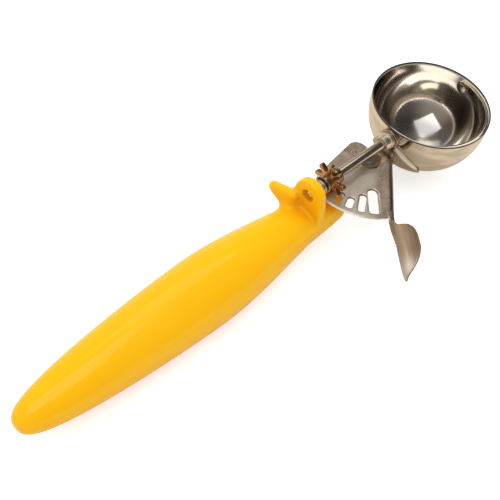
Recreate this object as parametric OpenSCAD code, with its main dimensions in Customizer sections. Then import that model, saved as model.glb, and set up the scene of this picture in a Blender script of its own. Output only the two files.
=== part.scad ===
// Lever ice cream scoop: moulded handle, stainless shank, hemispherical bowl and a
// thumb lever that turns the ejector blade through a slotted plate and a pinion.
// Origin: centre of the bowl's mouth. +Z out of the bowl, +X from the handle to the
// bowl, thumb tab on the -Y side. Millimetres.

/* [Bowl] */
// Outside diameter of the bowl
bowl_d = 54; // [46:0.5:62]
// Sheet thickness of the bowl
bowl_wall = 0.8; // [0.6:0.1:1.2]
// Height of the straight lip above the blade's axis
rim_lip = 4.9; // [4.6:0.1:7]
// Thickness of the saddle that carries the bowl
saddle_t = 1.7; // [1.4:0.1:2.4]
// Reach of the saddle's long arm round the bowl, on the thumb's side
saddle_reach = 14.5; // [10:0.5:16]
// Reach of the saddle's short arm
saddle_short = 9; // [8:0.5:12]

/* [Ejector] */
// Width of the blade at its middle
blade_w = 8.4; // [6:0.2:9]
// Width of the blade at its two pivots
blade_end_w = 6.2; // [5.4:0.2:7]
// Sheet thickness of the blade
blade_t = 0.8; // [0.6:0.1:1]
// Gap between the blade and the bowl
blade_gap = 0.35; // [0.25:0.05:0.6]
// Diameter of the drive shaft
shaft_d = 4; // [3.2:0.1:4.6]
// Diameter of the pin that carries the blade's far end
far_pin_d = 3.1; // [2.4:0.1:3.6]
// Radial clearance of every turning fit
run_gap = 0.05; // [0.02:0.01:0.09]

/* [Pinion] */
// Number of teeth on the pinion
pinion_teeth = 8; // [7:1:9]
// Thickness of the pinion's toothed wheel
pinion_t = 2.2; // [1.6:0.2:3]
// Height of the teeth beyond the pitch circle
tooth_out = 1.4; // [1.2:0.1:1.6]
// Width of a tooth on the pitch circle
tooth_w = 2; // [1.6:0.1:2.2]
// Diameter of the pinion's hub
hub_d = 7; // [6.2:0.1:7.6]
// Length of the hub in front of the wheel
hub_len = 3.7; // [3:0.1:4.5]

/* [Lever plate] */
// Distance from the bowl's centre back to the lever's pivot
pivot_back = 39; // [37:0.5:44]
// Width of the rim outside the slots
slot_rim = 2.4; // [1.8:0.1:3.6]
// Sheet thickness of the lever
plate_t = 1.2; // [1:0.1:1.5]
// Radius at which the slots mesh with the pinion
mesh_r = 27.2; // [26.4:0.1:27.6]
// Angle between two slots
slot_pitch = 10.8; // [10.2:0.1:11.4]
// Angle of the first slot from the shaft's line
slot_first = 2.2; // [1:0.1:4]
// Width of a slot
slot_w = 3; // [2.8:0.1:3.2]
// Width of the last slot
last_slot_w = 4.4; // [3.2:0.1:4.8]
// Distance of the plate's front edge line from the pivot
edge_off = 10.6; // [9:0.1:12]
// Height of the turned-down edge
flange_h = 3.6; // [2.4:0.1:4]

/* [Thumb tab] */
// Length of the thumb tab beyond its neck
tab_len = 29.5; // [22:0.5:36]
// Width of the thumb tab
tab_w = 8; // [6:0.5:9]
// Radius to which the tab is dished
tab_dish_r = 10; // [9:0.5:14]

/* [Shank] */
// Width of the shank bar
shank_w = 8; // [6.5:0.1:9]
// Height of the shank bar
shank_h = 6; // [5:0.1:6.6]
// Length of the tang inside the handle
tang_len = 60; // [40:1:90]
// Diameter of the lever's rivet
rivet_d = 5; // [4:0.1:5.6]
// Diameter of the lever's washers
washer_d = 10; // [8.5:0.1:11]

/* [Handle] */
// Overall length of the handle
handle_len = 163.6; // [140:0.2:190]
// Diameter of the handle at its swell
swell_d = 30; // [24:0.2:33]
// Distance from the handle's nose back to its swell
swell_back = 75; // [66:1:90]
// Diameter of the handle's nose
nose_d = 17; // [16:0.2:19]
// Diameter of the handle just behind the ear
neck_d = 19; // [17.6:0.2:21]
// Radius of the ear that carries the shaft's tail
ear_r = 7.3; // [6:0.1:9]
// Thickness of the ear
ear_t = 4; // [3:0.1:6]
// Reach of the side horn from the handle's centre plane
horn_reach = 17.2; // [13:0.2:20]

/* [Return spring] */
// Wire diameter of the return spring
wire_d = 0.9; // [0.7:0.05:1]
// Number of coils
coils = 3; // [2:1:4]

/* [Hidden] */
$fn = 96;

eps = 0.01;
slip = 0.03;
steel = [0.74, 0.71, 0.66];
wire_steel = [0.62, 0.6, 0.58];
plastic = [0.98, 0.76, 0.08];

// Bowl and blade
bowl_r = bowl_d / 2;
bowl_in = bowl_r - bowl_wall;
axis_z = -rim_lip;
blade_out = bowl_in - blade_gap;
blade_in = blade_out - blade_t;
shaft_r = shaft_d / 2;
spigot_r = shaft_r - 0.6;
far_pin_r = far_pin_d / 2;
bush_r = shaft_r + 1.3;
bush_flange_r = bush_r + 0.5;
bush_len = 5;
far_washer_t = 0.5;
braze = 0.06;
saddle_in = bowl_r + braze;
saddle_out = saddle_in + saddle_t;
arch_r = 4.6;
saddle_shoulder = 4.2;
long_arm_z = -13.4;
short_arm_z = -9.5;
saddle_foot_z = -24;
saddle_foot_w = 5.5;

// Mesh of slots and pinion: both pass the same arc for one tooth
tooth_pitch = 360 / pinion_teeth;
ratio = tooth_pitch / slot_pitch;
pitch_r = mesh_r / ratio;
tip_r = pitch_r + tooth_out;
root_r = 4.4;
tooth_phase = slot_first * ratio;
pinion_x = -(pivot_back + mesh_r);
hub_r = hub_d / 2;
pin_r = 0.75;

// Lever plate heights, measured from the shaft's axis
plate_mid = -pitch_r;
plate_top = plate_mid + plate_t / 2;
plate_bot = plate_mid - plate_t / 2;
slot_count = 5;
slot_out = mesh_r + 2.9;
plate_r = slot_out + slot_rim;
slot_in = [mesh_r - 3.4, mesh_r - 3.1, mesh_r - 6.6, mesh_r - 10.4];
edge_dir = 221.8;
bend_r = 2.2;
edge_tail = 2.4;
lobe_y = 7.4;
lobe_r = 4.5;

// Thumb tab, in its own frame along the tab
tab_dir = 231.5;
tab_turn = 15.7;
tab_out = 1.9;

// Lever stack
washer_t = 0.6;
washer_r = washer_d / 2;
rivet_r = rivet_d / 2;
head_r = rivet_r + 1.4;
head_h = 1.5;

// Handle and shank heights
nose_gap = 2;
nose_r = nose_d / 2;
handle_z = plate_bot - nose_gap - nose_r;
shank_rise = 3.6;
shank_z = handle_z + shank_rise;
shank_top = shank_z + shank_h / 2;
shank_bot = shank_z - shank_h / 2;

// Stations along the shaft, from the pinion back to the tail
seat_t = 0.5;
wheel_rear = pinion_x - pinion_t / 2;
rear_hub = 3.2;
seat_x = wheel_rear - rear_hub - 0.1;
spring_front = seat_x - seat_t - 0.1;
spring_pitch = wire_d + 0.15;
spring_len = coils * spring_pitch + wire_d;
thrust_t = 0.5;
thrust_x = spring_front - spring_len - 0.1;
ear_front = thrust_x - thrust_t - 0.1;
ear_rear = ear_front - ear_t;
tail_x = ear_rear + 0.7;
spring_r = shaft_r + 0.6 + wire_d / 2;

// Handle stations
nose_x = ear_front + 16;
swell_x = nose_x - swell_back;
butt_x = nose_x - handle_len;
neck_r = neck_d / 2;
swell_r = swell_d / 2;
tang_w = shank_w - 1.4;
tang_h = shank_h - 1.2;
tang_hole_r = 1.8;

module at_axis() translate([0, 0, axis_z]) children();
module at_pivot(z) translate([-pivot_back, 0, axis_z + z]) children();
module along_x(x) translate([x, 0, axis_z]) rotate([0, 90, 0]) children();
function arc_pts(c, r, a0, a1, n) =
    [for (i = [0:n]) let (a = a0 + (a1 - a0) * i / n) [c[0] + r * cos(a), c[1] + r * sin(a)]];
function mirrored(pts) = [for (i = [len(pts) - 2:-1:1]) [-pts[i][0], pts[i][1]]];
function bezier(a, b, c, d, n) =
    [for (i = [0:n]) let (t = i / n, s = 1 - t)
        s * s * s * a + 3 * s * s * t * b + 3 * s * t * t * c + t * t * t * d];

// ---- Handle -------------------------------------------------------------

// Radius of the round handle at x: nose, rise to the swell, long tail with a round end
function rise(t) = sin(90 * pow(t, 1.2));
function front_r(x) = neck_r + (swell_r - neck_r) * rise((ear_rear - x) / (ear_rear - swell_x));
function tail_r(t) = swell_r * pow(1 - pow(t, 1.35), 1 / 3);
function tail_pts(n) =
    [for (i = [1:n]) let (t = sin(90 * i / n)) [swell_x + t * (butt_x - swell_x), tail_r(t)]];

module handle_body() {
    step = 3;
    n = ceil((ear_rear - swell_x) / step);
    corner = 1.2;
    taper = 8;
    profile = concat(
        [[nose_x, 0]],
        [for (a = [0:15:90]) [nose_x - corner + corner * cos(a), nose_r - corner + corner * sin(a)]],
        [[nose_x - taper, nose_r + 0.5], [ear_front, neck_r - 0.1], [ear_rear, neck_r]],
        [for (i = [1:n]) let (x = ear_rear - i * (ear_rear - swell_x) / n) [x, front_r(x)]],
        tail_pts(26)
    );
    translate([0, 0, axis_z + handle_z]) rotate([0, 90, 0])
        rotate_extrude() polygon([for (p = profile) [p[1], p[0]]]);
}

module ear() {
    along_x(ear_rear) cylinder(r = ear_r, h = ear_t);
    translate([ear_rear, 0, axis_z]) rotate([90, 0, 90]) linear_extrude(ear_t)
        polygon([[-ear_r, 0], [ear_r, 0], [neck_r, handle_z], [-neck_r, handle_z]]);
    ear_fillet();
}

// Concave fillet behind the ear
module ear_fillet() {
    fillet = 7;
    low = handle_z + neck_r - 2.5;
    difference() {
        translate([ear_rear - fillet, -ear_r + 1.2, axis_z + low])
            cube([fillet + eps, 2 * (ear_r - 1.2), fillet + 1.5]);
        translate([ear_rear - fillet, 0, axis_z + low + fillet + 1.5]) rotate([90, 0, 0])
            cylinder(r = fillet, h = 3 * ear_r, center = true);
    }
}

// Side horn that keeps the hand off the lever plate, a fin that runs out of the ear
module horn_ball(x, y, z, r) translate([ear_rear + x, y, axis_z + z]) sphere(r, $fn = 32);
module horn() {
    end_r = 2.2;
    end_y = horn_reach - end_r;
    inner_y = ear_r * 0.55;
    root_z = handle_z + neck_r - 3;
    hull() {
        horn_ball(-3.6, end_y, -4.8, end_r);
        horn_ball(-3.6, end_y - 1.9, -7.6, end_r);
        horn_ball(-1.6, inner_y, -3.2, 2.6);
        horn_ball(-2, inner_y, root_z, 3.4);
        horn_ball(-3.6, neck_r - 3, handle_z + 3, 3);
    }
}

module handle() {
    color(plastic) difference() {
        union() {
            handle_body();
            ear();
            horn();
        }
        tang_bar();
        along_x(ear_rear - 1) cylinder(r = shaft_r + run_gap, h = ear_t + 2);
    }
}

// ---- Shank and what is fixed to it ---------------------------------------

module bar(x0, x1, w, h)
    translate([x0, -w / 2, axis_z + shank_z - h / 2]) cube([x1 - x0, w, h]);

// The tang, with two holes that the handle's plastic fills
module tang_bar() {
    difference() {
        union() {
            bar(nose_x - 5, nose_x + eps, shank_w, shank_h);
            bar(nose_x - tang_len, nose_x, tang_w, tang_h);
        }
        for (k = [0.4, 0.8])
            translate([nose_x - k * tang_len, 0, axis_z + shank_z])
                cylinder(r = tang_hole_r, h = 2 * shank_h, center = true);
    }
}

module shank() {
    color(steel) {
        difference() {
            bar(nose_x, -bowl_r / 3, shank_w, shank_h);
            at_axis() sphere(saddle_out + braze);
            at_pivot(shank_bot - eps) cylinder(r = rivet_r, h = shank_h + 2 * eps);
        }
        tang_bar();
    }
}

module ring(r_out, r_in, h) difference() {
    cylinder(r = r_out, h = h);
    translate([0, 0, -eps]) cylinder(r = r_in, h = h + 2 * eps);
}

module lever_spacer()
    color(steel) at_pivot(shank_top) ring(shank_w / 2, rivet_r, plate_bot - washer_t - slip - shank_top);

module lower_washer()
    color(steel) at_pivot(plate_bot - washer_t - slip) ring(washer_r - 1, rivet_r + run_gap, washer_t);

module upper_washer()
    color(steel) at_pivot(plate_top + slip) ring(washer_r, rivet_r + run_gap, washer_t);

// Domed head of a rivet, flat side on z = 0
module dome(r, h) intersection() {
    translate([0, 0, h - (r * r + h * h) / (2 * h)]) sphere((r * r + h * h) / (2 * h));
    cylinder(r = r, h = h);
}

module lever_rivet() {
    color(steel) {
        at_pivot(shank_bot) cylinder(r = rivet_r, h = plate_top + washer_t + slip - shank_bot);
        at_pivot(plate_top + washer_t + slip) dome(head_r, head_h);
        at_pivot(shank_bot) mirror([0, 0, 1]) dome(head_r, head_h);
    }
}

// ---- Bowl ---------------------------------------------------------------

// Ball below the axis and straight wall above it
module cup(r, h) {
    sphere(r);
    cylinder(r = r, h = h);
}

module bowl() {
    color(steel) difference() {
        at_axis() cup(bowl_r, rim_lip);
        at_axis() cup(bowl_in, bowl_r + rim_lip);
        at_axis() translate([0, 0, rim_lip]) cylinder(r = bowl_r + 1, h = bowl_r);
        along_x(-bowl_r - 1) cylinder(r = bush_r, h = 3);
        along_x(bowl_in - 2) cylinder(r = far_pin_r, h = 4);
    }
}

// Saddle brazed to the bowl: an arch round the shaft and two arms that cradle the bowl
function saddle_side(arm, arm_z) = concat(
    [[0, saddle_foot_z]],
    bezier([saddle_foot_w, saddle_foot_z], [saddle_foot_w + 4, saddle_foot_z],
        [arm, arm_z - 7], [arm, arm_z - 1.5], 8),
    bezier([arm, arm_z - 0.5], [arm - 0.4, arm_z + 1.6],
        [saddle_shoulder + 2.5, -saddle_shoulder - 0.6], [arch_r - 0.2, -saddle_shoulder + 0.6], 8),
    arc_pts([0, 0], arch_r, 0, 90, 8)
);
module bowl_saddle() {
    long_arm = saddle_side(saddle_reach, long_arm_z);
    outline = concat(
        saddle_side(saddle_short, short_arm_z),
        [for (i = [len(long_arm) - 2:-1:1]) [-long_arm[i][0], long_arm[i][1]]]
    );
    color(steel) difference() {
        intersection() {
            at_axis() difference() {
                cup(saddle_out, rim_lip);
                cup(saddle_in, saddle_out);
            }
            translate([-saddle_out - 1, 0, axis_z]) rotate([90, 0, 90])
                linear_extrude(saddle_out - 4) polygon(outline);
        }
        along_x(-saddle_out - 1) cylinder(r = bush_r, h = 6);
    }
}

// Flanged bush that guides the shaft through saddle and bowl
module front_bush() {
    back = saddle_out + 0.02;
    color(steel) difference() {
        union() {
            along_x(-bowl_in - 0.05 - bush_len - saddle_t) cylinder(r = bush_r, h = bush_len + saddle_t);
            along_x(-back - bush_len / 3) cylinder(r = bush_flange_r, h = bush_len / 3);
        }
        along_x(-saddle_out - 2 * bush_len) cylinder(r = shaft_r + run_gap, h = 3 * bush_len);
    }
}

module far_pivot_washer()
    color(steel) along_x(bowl_r + braze) ring(far_pin_r + 1.7, far_pin_r, far_washer_t);

module far_pivot_rivet() {
    head = 0.8;
    inner = blade_in - 0.3;
    outer = bowl_r + braze + far_washer_t;
    color(steel) {
        along_x(inner) cylinder(r = far_pin_r, h = outer - inner);
        along_x(outer) dome(far_pin_r + 1, head);
        along_x(inner - head) cylinder(r = far_pin_r + 0.8, h = head);
    }
}

// ---- Ejector ------------------------------------------------------------

// Curved strip, widest at its middle, that rests along the thumb tab's side of the bowl
module ejector_blade() {
    half = blade_w / 2;
    end = blade_end_w / 2;
    taper = blade_out * 0.55;
    color(steel) difference() {
        intersection() {
            at_axis() difference() {
                sphere(blade_out);
                sphere(blade_in);
            }
            union() {
                translate([0, 0, axis_z]) rotate([90, 0, 0]) linear_extrude(bowl_r)
                    polygon([[-bowl_r, -end], [-taper, -half], [taper, -half], [bowl_r, -end],
                        [bowl_r, end], [taper, half], [-taper, half], [-bowl_r, end]]);
                along_x(-bowl_r) cylinder(r = end, h = 2 * bowl_r);
            }
        }
        along_x(-bowl_r) cylinder(r = spigot_r, h = bowl_r);
        along_x(0) cylinder(r = far_pin_r + run_gap, h = bowl_r);
    }
}

module drive_shaft() {
    shoulder = blade_out + 0.02;
    tail_round = 0.8;
    color(steel) {
        difference() {
            along_x(tail_x + tail_round) cylinder(r = shaft_r, h = -shoulder - tail_x - tail_round);
            pin_hole();
        }
        along_x(tail_x + tail_round) mirror([0, 0, 1]) dome(shaft_r, tail_round);
        along_x(-shoulder - eps) cylinder(r = spigot_r, h = shoulder - blade_in + 0.2);
        along_x(-blade_in + 0.14) dome(shaft_r + 0.3, 0.8);
    }
}

// Star wheel with round-ended teeth that reach down through the slots
module pinion() {
    tip = tooth_w / 2;
    color(wire_steel) difference() {
        union() {
            along_x(wheel_rear) cylinder(r = root_r, h = pinion_t);
            for (i = [0:pinion_teeth - 1])
                translate([wheel_rear, 0, axis_z])
                    rotate([-90 - tooth_phase + i * tooth_pitch, 0, 0]) rotate([90, 0, 90])
                        linear_extrude(pinion_t) union() {
                            translate([0, -tip]) square([tip_r - tip, tooth_w]);
                            translate([tip_r - tip, 0]) circle(tip);
                        }
            along_x(wheel_rear - rear_hub) cylinder(r = hub_r - 0.1, h = rear_hub + eps);
            along_x(wheel_rear + pinion_t - eps) cylinder(r = hub_r, h = hub_len + eps);
        }
        along_x(wheel_rear - rear_hub - 1) cylinder(r = shaft_r, h = pinion_t + hub_len + rear_hub + 2);
        pin_hole();
    }
}

module pin_hole()
    translate([wheel_rear + pinion_t + hub_len / 2, 0, axis_z])
        cylinder(r = pin_r, h = 2 * hub_d, center = true);

module pinion_pin() {
    color(wire_steel) intersection() {
        pin_hole();
        along_x(wheel_rear) cylinder(r = hub_r + 0.1, h = 3 * hub_len);
    }
}

module spring_seat()
    color(steel) along_x(seat_x - seat_t) ring(spring_r + wire_d, shaft_r + 0.02, seat_t);

module thrust_washer()
    color(steel) along_x(thrust_x - thrust_t) ring(spring_r + wire_d, shaft_r + run_gap, thrust_t);

// ---- Return spring ------------------------------------------------------

// Tube swept along points, each ring square to the path
function unit(v) = v / norm(v);
function tangent(p, i) = unit(p[min(i + 1, len(p) - 1)] - p[max(i - 1, 0)]);
function ring_pts(c, t, r, n) =
    let (u = unit(cross(t, abs(t[0]) > 0.9 ? [0, 0, 1] : [1, 0, 0])), v = cross(t, u))
    [for (k = [0:n - 1]) c + r * (cos(360 * k / n) * u + sin(360 * k / n) * v)];
module tube(path, r, n) {
    count = len(path);
    points = [for (i = [0:count - 1]) each ring_pts(path[i], tangent(path, i), r, n)];
    sides = [for (i = [0:count - 2], k = [0:n - 1])
        [i * n + k, i * n + (k + 1) % n, (i + 1) * n + (k + 1) % n, (i + 1) * n + k]];
    polyhedron(points, concat([[for (k = [n - 1:-1:0]) k]], sides,
        [[for (k = [0:n - 1]) (count - 1) * n + k]]), convexity = 6);
}

module return_spring() {
    steps = 24;
    start = spring_front - spring_len + wire_d / 2;
    leg = 3.2;
    coil = [for (i = [0:coils * steps]) let (a = 360 * i / steps)
        [start + spring_pitch * i / steps, spring_r * cos(a), spring_r * sin(a)]];
    legs = [start, spring_r, -leg];
    path = concat([legs], coil, [[start + spring_pitch * coils, spring_r, leg]]);
    color(wire_steel) at_axis() tube(path, wire_d / 2, 8);
}

// ---- Lever --------------------------------------------------------------

// Direction in the plate's plane
function along(a, d) = [d * cos(a), d * sin(a)];
edge_foot = along(edge_dir + 90, edge_off);
edge_half = sqrt(plate_r * plate_r - edge_off * edge_off);
edge_end = edge_foot + along(edge_dir, edge_half);
edge_in = along(edge_dir + 90, edge_off - bend_r);
edge_start = edge_in + along(edge_dir, -edge_tail);

module plate_outline() {
    notch = 180 + slot_first - slot_pitch;
    side = along(notch + 90, slot_w / 2);
    reach = sqrt(plate_r * plate_r - slot_w * slot_w / 4);
    start = notch + asin(slot_w / 2 / plate_r);
    stop = edge_dir + asin((edge_off - bend_r) / plate_r);
    polygon(concat(
        arc_pts([0, 0], plate_r, start, stop, 30),
        [edge_start],
        bezier(edge_start + [0.8, 0.8], edge_start + [1.2, 2], [lobe_r - 0.4, 3], [lobe_r + 0.2, lobe_y - 1], 6),
        arc_pts([0.2, lobe_y], lobe_r, 0, 95, 10),
        [mesh_r * [-0.574, 0.36], mesh_r * [-0.743, 0.327], mesh_r * [-0.868, 0.235],
            side + along(notch, slot_in[0]),
            side + along(notch, reach)]
    ));
}

module slots() {
    for (k = [0:slot_count - 1]) {
        w = k == slot_count - 1 ? last_slot_w : slot_w;
        inner = slot_in[max(k - 1, 0)];
        rotate(180 + slot_first + k * slot_pitch) {
            translate([inner + w / 3, -w / 2]) square([slot_out - inner - w / 2, w]);
            translate([inner + w / 2, 0]) circle(w / 2, $fn = 32);
            translate([slot_out - w / 3, -w / 2 + w / 6]) square([w / 3, w * 2 / 3]);
        }
    }
}

// Turned-down edge with a rounded bend
module flange() {
    len = edge_half + edge_tail;
    profile = concat(arc_pts([-bend_r, -bend_r], bend_r, 90, 0, 6),
        [[0, -flange_h - plate_t], [-plate_t, -flange_h - plate_t], [-plate_t, -bend_r - 0.2],
            [-bend_r - 0.2, -plate_t], [-bend_r - 0.2, 0]]);
    translate([edge_end[0], edge_end[1], plate_t / 2]) rotate([0, 0, edge_dir + 180])
        rotate([90, 0, 90]) linear_extrude(len) mirror([1, 0]) polygon(profile);
}

// Leaf-shaped thumb tab, dished about its own length
module tab() {
    side = concat(
        [[-6, -1.2], [-6, 1.4], [0, 1.2]],
        bezier([1.2, 2], [1, tab_w - 1], [4, tab_w], [tab_len * 0.4, tab_w], 8),
        bezier([tab_len * 0.5, tab_w], [tab_len * 0.78, tab_w - 1], [tab_len * 0.85, 1.8],
            [tab_len - 0.6, 0.8], 8),
        bezier([tab_len, 0.2], [tab_len + 0.1, -0.9], [tab_len * 0.8, -1],
            [tab_len * 0.4, -0.6], 8),
        [[4, -1.4]]
    );
    root = along(edge_dir + tab_turn, plate_r + tab_out);
    translate([root[0], root[1], 0]) rotate([0, 0, tab_dir]) intersection() {
        translate([-8, 0, tab_dish_r]) rotate([0, 90, 0])
            ring(tab_dish_r + plate_t / 2, tab_dish_r - plate_t / 2, tab_len + 12);
        translate([0, 0, -plate_t]) linear_extrude(tab_dish_r) polygon(side);
    }
}

module lever_plate() {
    color(steel) at_pivot(plate_mid) difference() {
        union() {
            translate([0, 0, -plate_t / 2]) linear_extrude(plate_t) difference() {
                plate_outline();
                slots();
            }
            flange();
            tab();
        }
        translate([0, 0, -plate_t]) cylinder(r = rivet_r + run_gap, h = 2 * plate_t);
    }
}

handle();
shank();
lever_spacer();
lower_washer();
upper_washer();
lever_rivet();
bowl_saddle();
bowl();
front_bush();
far_pivot_rivet();
far_pivot_washer();
return_spring();
thrust_washer();
lever_plate();
drive_shaft();
ejector_blade();
pinion();
pinion_pin();
spring_seat();
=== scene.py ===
"""Lever ice cream scoop: moulded handle, stainless bowl and a thumb lever that sweeps a blade."""
import math

import bmesh
import bpy
from mathutils import Matrix, Vector


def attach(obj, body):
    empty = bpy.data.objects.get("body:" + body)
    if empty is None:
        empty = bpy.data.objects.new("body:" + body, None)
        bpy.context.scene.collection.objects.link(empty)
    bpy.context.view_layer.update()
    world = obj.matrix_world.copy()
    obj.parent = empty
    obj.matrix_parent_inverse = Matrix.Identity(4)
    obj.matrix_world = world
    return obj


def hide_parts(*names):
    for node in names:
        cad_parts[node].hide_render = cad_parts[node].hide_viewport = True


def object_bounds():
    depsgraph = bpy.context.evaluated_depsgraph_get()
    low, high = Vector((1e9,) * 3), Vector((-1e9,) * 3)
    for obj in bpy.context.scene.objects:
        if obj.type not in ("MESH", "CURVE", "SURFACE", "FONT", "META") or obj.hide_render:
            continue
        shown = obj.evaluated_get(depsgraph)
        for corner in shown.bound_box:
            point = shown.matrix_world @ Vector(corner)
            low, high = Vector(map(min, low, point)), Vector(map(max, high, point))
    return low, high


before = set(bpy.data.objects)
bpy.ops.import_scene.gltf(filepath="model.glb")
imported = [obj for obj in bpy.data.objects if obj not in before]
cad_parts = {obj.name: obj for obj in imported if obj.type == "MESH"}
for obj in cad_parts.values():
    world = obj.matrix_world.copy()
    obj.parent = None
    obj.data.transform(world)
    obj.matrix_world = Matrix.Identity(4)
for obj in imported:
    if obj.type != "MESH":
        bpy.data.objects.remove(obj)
cad_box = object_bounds()
scene = bpy.context.scene

# ---- Handle -------------------------------------------------------------------
# One moulding of glossy yellow polypropylene, shot round the tang of the shank.
# Everything is drawn in millimetres about the axis of the drive shaft, which runs
# along X, 4.9 mm below the bowl's mouth.

MOUTH = 4.9
GRIP_Z = -17.63
NOSE, EAR_FRONT, EAR_REAR, SWELL, BUTT = -59.95, -76.15, -80.25, -134.95, -223.55
NOSE_R, NOSE_ROUND, NECK_R, SWELL_R = 8.4, 1.2, 9.5, 15
EAR_R, EAR_SHOULDER, EAR_SHOULDER_Z = 7.1, 7.7, -2.2


def arc(radius, low, high, step, centre=(0, 0)):
    """Points on a circle, at headings in whole degrees from low to before high."""
    return [(centre[0] + radius * math.cos(math.radians(a)),
             centre[1] + radius * math.sin(math.radians(a))) for a in range(low, high, step)]


def turned(profile, around=96, closed=False):
    """Lathe work about the X axis: the profile is (station, radius)."""
    shape = bmesh.new()
    rings = []
    for station, radius in profile:
        turns = [2 * math.pi * k / around for k in range(around)]
        rings.append([shape.verts.new((station, radius * math.cos(a), radius * math.sin(a)))
                      for a in turns])
    pairs = list(zip(rings, rings[1:]))
    if closed:
        pairs.append((rings[-1], rings[0]))
    for near, far in pairs:
        for k in range(around):
            j = (k + 1) % around
            shape.faces.new((near[k], near[j], far[j], far[k]))
    bmesh.ops.remove_doubles(shape, verts=shape.verts, dist=1e-5)
    return shape


def extruded(outline, low, high, place=Matrix.Identity(4)):
    """A flat outline in X and Y, given a thickness from low to high."""
    shape = bmesh.new()
    bottom = [shape.verts.new((x, y, low)) for x, y in outline]
    top = [shape.verts.new((x, y, high)) for x, y in outline]
    shape.faces.new(bottom[::-1])
    shape.faces.new(top)
    for k in range(len(outline)):
        j = (k + 1) % len(outline)
        shape.faces.new((bottom[k], bottom[j], top[j], top[k]))
    shape.transform(place)
    return shape


def balls(*places):
    """The skin stretched over balls of (distance behind the ear, y, z, radius)."""
    shape = bmesh.new()
    for behind, y, z, radius in places:
        bmesh.ops.create_icosphere(shape, subdivisions=4, radius=radius,
                                   matrix=Matrix.Translation((EAR_REAR - behind, y, z)))
    skin = bmesh.ops.convex_hull(shape, input=shape.verts)
    bmesh.ops.delete(shape, geom=skin["geom_interior"], context="VERTS")
    return shape


def joined(*shapes):
    """Several shapes as one mesh."""
    whole = bmesh.new()
    for shape in shapes:
        carrier = bpy.data.meshes.new("carrier")
        shape.to_mesh(carrier)
        shape.free()
        whole.from_mesh(carrier)
        bpy.data.meshes.remove(carrier)
    return whole


def piece(name, shape, crease=40):
    """The finished object, in metres, with creases only where metal is really sharp."""
    bmesh.ops.remove_doubles(shape, verts=shape.verts, dist=1e-5)
    bmesh.ops.recalc_face_normals(shape, faces=shape.faces)
    shape.transform(Matrix.Scale(0.001, 4) @ Matrix.Translation((0, 0, -MOUTH)))
    sharp = math.radians(crease)
    for face in shape.faces:
        face.smooth = True
    for edge in shape.edges:
        edge.smooth = len(edge.link_faces) == 2 and edge.calc_face_angle() < sharp
    mesh = bpy.data.meshes.new(name)
    shape.to_mesh(mesh)
    shape.free()
    made = bpy.data.objects.new(name, mesh)
    scene.collection.objects.link(made)
    return made


def evaluated(made):
    """The mesh that an object's modifiers or curve settings give."""
    graph = bpy.context.evaluated_depsgraph_get()
    return bpy.data.meshes.new_from_object(made.evaluated_get(graph))


def settle(made):
    """The modifiers' result becomes the mesh."""
    result = evaluated(made)
    made.modifiers.clear()
    rough, made.data = made.data, result
    bpy.data.meshes.remove(rough)
    for face in result.polygons:
        face.use_smooth = True


def fused(name, shape, grain, softening):
    """Overlapping shapes melted into one skin, as a moulding or a pressing is."""
    made = piece(name, shape)
    melt = made.modifiers.new("melt", "REMESH")
    melt.mode = "VOXEL"
    melt.voxel_size = grain * 0.001
    soften = made.modifiers.new("soften", "SMOOTH")
    soften.factor = 0.5
    soften.iterations = softening
    settle(made)
    return made


def cut_out(made, tool):
    """The tool's shape taken out of a piece."""
    cutter = made.modifiers.new("cutter", "BOOLEAN")
    cutter.operation = "DIFFERENCE"
    cutter.object = tool
    settle(made)
    bpy.data.objects.remove(tool)


grip_line = [(NOSE, 0)]
grip_line += arc(NOSE_ROUND, 0, 91, 15, (NOSE - NOSE_ROUND, NOSE_R - NOSE_ROUND))
grip_line += [(NOSE - 8, 9.0), (EAR_FRONT, 9.4), (EAR_REAR, NECK_R)]
for step in range(1, 56):
    t = step / 55
    growth = (SWELL_R - NECK_R) * math.sin(math.radians(90 * t ** 1.2))
    grip_line.append((EAR_REAR + t * (SWELL - EAR_REAR), NECK_R + growth))
for step in range(1, 61):
    t = math.sin(math.radians(90 * step / 60))
    taper = max(0.0, 1 - t ** 1.35) ** (1 / 3)
    grip_line.append((SWELL + t * (BUTT - SWELL), SWELL_R * taper))
grip = turned(grip_line, 144)
grip.transform(Matrix.Translation((0, 0, GRIP_Z)))

# Stands a flat outline up, so that its X and Y become the object's Y and Z
upright = Matrix(((0, 0, 1, 0), (1, 0, 0, 0), (0, 1, 0, 0), (0, 0, 0, 1)))
ear_line = [(-NECK_R, GRIP_Z), (NECK_R, GRIP_Z), (EAR_SHOULDER, EAR_SHOULDER_Z)]
ear_line += arc(EAR_R, 0, 181, 5) + [(-EAR_SHOULDER, EAR_SHOULDER_Z)]
ear = extruded(ear_line, EAR_REAR, EAR_FRONT, upright)
horn = balls((3.4, 14.9, -4.8, 2.2), (3.4, 12.6, -6.9, 2.0), (1.2, 5.6, -3.6, 2.3), (2.4, 5.4, -10.6, 2.8))
heel = balls((2.4, 5.4, -11.1, 2.8), (3.6, 6.3, -14.6, 3))
root = balls((3.0, 5.8, -8.2, 1.6), (3.4, 8.0, -8.6, 1.4), (7.6, 5.0, -11.4, 1.4), (6.6, 6.4, -12.6, 1.2))
handle = fused("moulded_handle", joined(grip, ear, horn, heel, root), 0.5, 8)

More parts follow.
